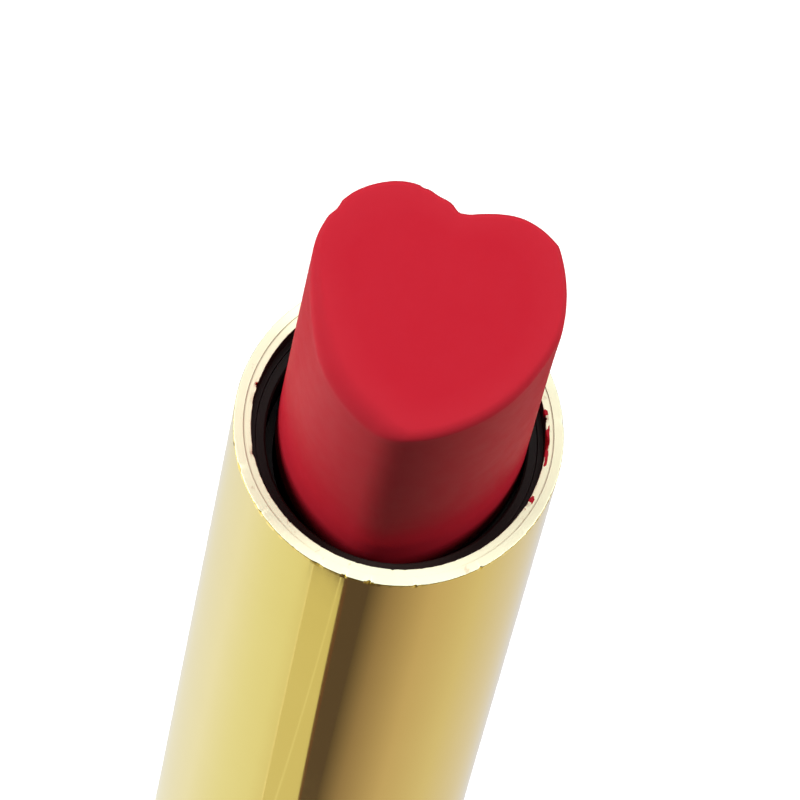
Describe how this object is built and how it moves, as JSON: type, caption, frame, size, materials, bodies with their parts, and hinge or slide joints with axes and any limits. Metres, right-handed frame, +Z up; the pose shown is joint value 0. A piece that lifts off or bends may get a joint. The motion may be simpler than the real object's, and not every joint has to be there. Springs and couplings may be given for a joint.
{
  "type": "lipstick case",
  "caption": "Twist-up lipstick case with a long gold sleeve, a stepped base and a raised heart-section lipstick.",
  "frame": {"origin": "centre of the circle that the base stands on", "axes": "+Z up along the case's axis, the tip of the heart section points to -Y, the cup's lugs lie along X"},
  "size_m": [0.0196, 0.0196, 0.111],
  "materials": {
    "gold_base": "polished gold anodised",
    "gold_trim": "polished gold anodised",
    "gold_sleeve": "mirror gold anodised",
    "disc_plastic": "satin gold",
    "weight_steel": "zinc plated",
    "insert_plastic": "moulded, natural white",
    "black_plastic": "moulded black",
    "silicone": "translucent silicone",
    "spiral_plastic": "moulded, natural white",
    "lipstick_wax": "satin red lipstick wax"
  },
  "bodies": {
    "base": {"base_shell": "gold_base", "bottom_disc": "disc_plastic", "base_weight": "weight_steel", "base_insert": "insert_plastic", "collar_ring": "gold_trim", "guide_tube": "black_plastic", "brake_ring": "silicone", "rim_ring": "gold_trim"},
    "sleeve": {"outer_sleeve": "gold_sleeve", "spiral_sleeve": "spiral_plastic"},
    "carrier": {"bullet_cup": "black_plastic", "lipstick_bullet": "lipstick_wax"}
  },
  "joints": [
    {"name": "sleeve_twist", "type": "hinge", "parent": "base", "child": "sleeve", "pos_m": [0, 0, 0.045], "axis": [0, 0, 1], "range_deg": [-45.1, 540.1]},
    {"name": "carrier_slide", "type": "slide", "parent": "base", "child": "carrier", "axis": [0, 0, 1], "range_m": [-0.024, 0.002]}
  ],
  "couplings": [
    {"joint": "sleeve_twist", "follows": "carrier_slide", "rad_per_m": -392.7}
  ]
}
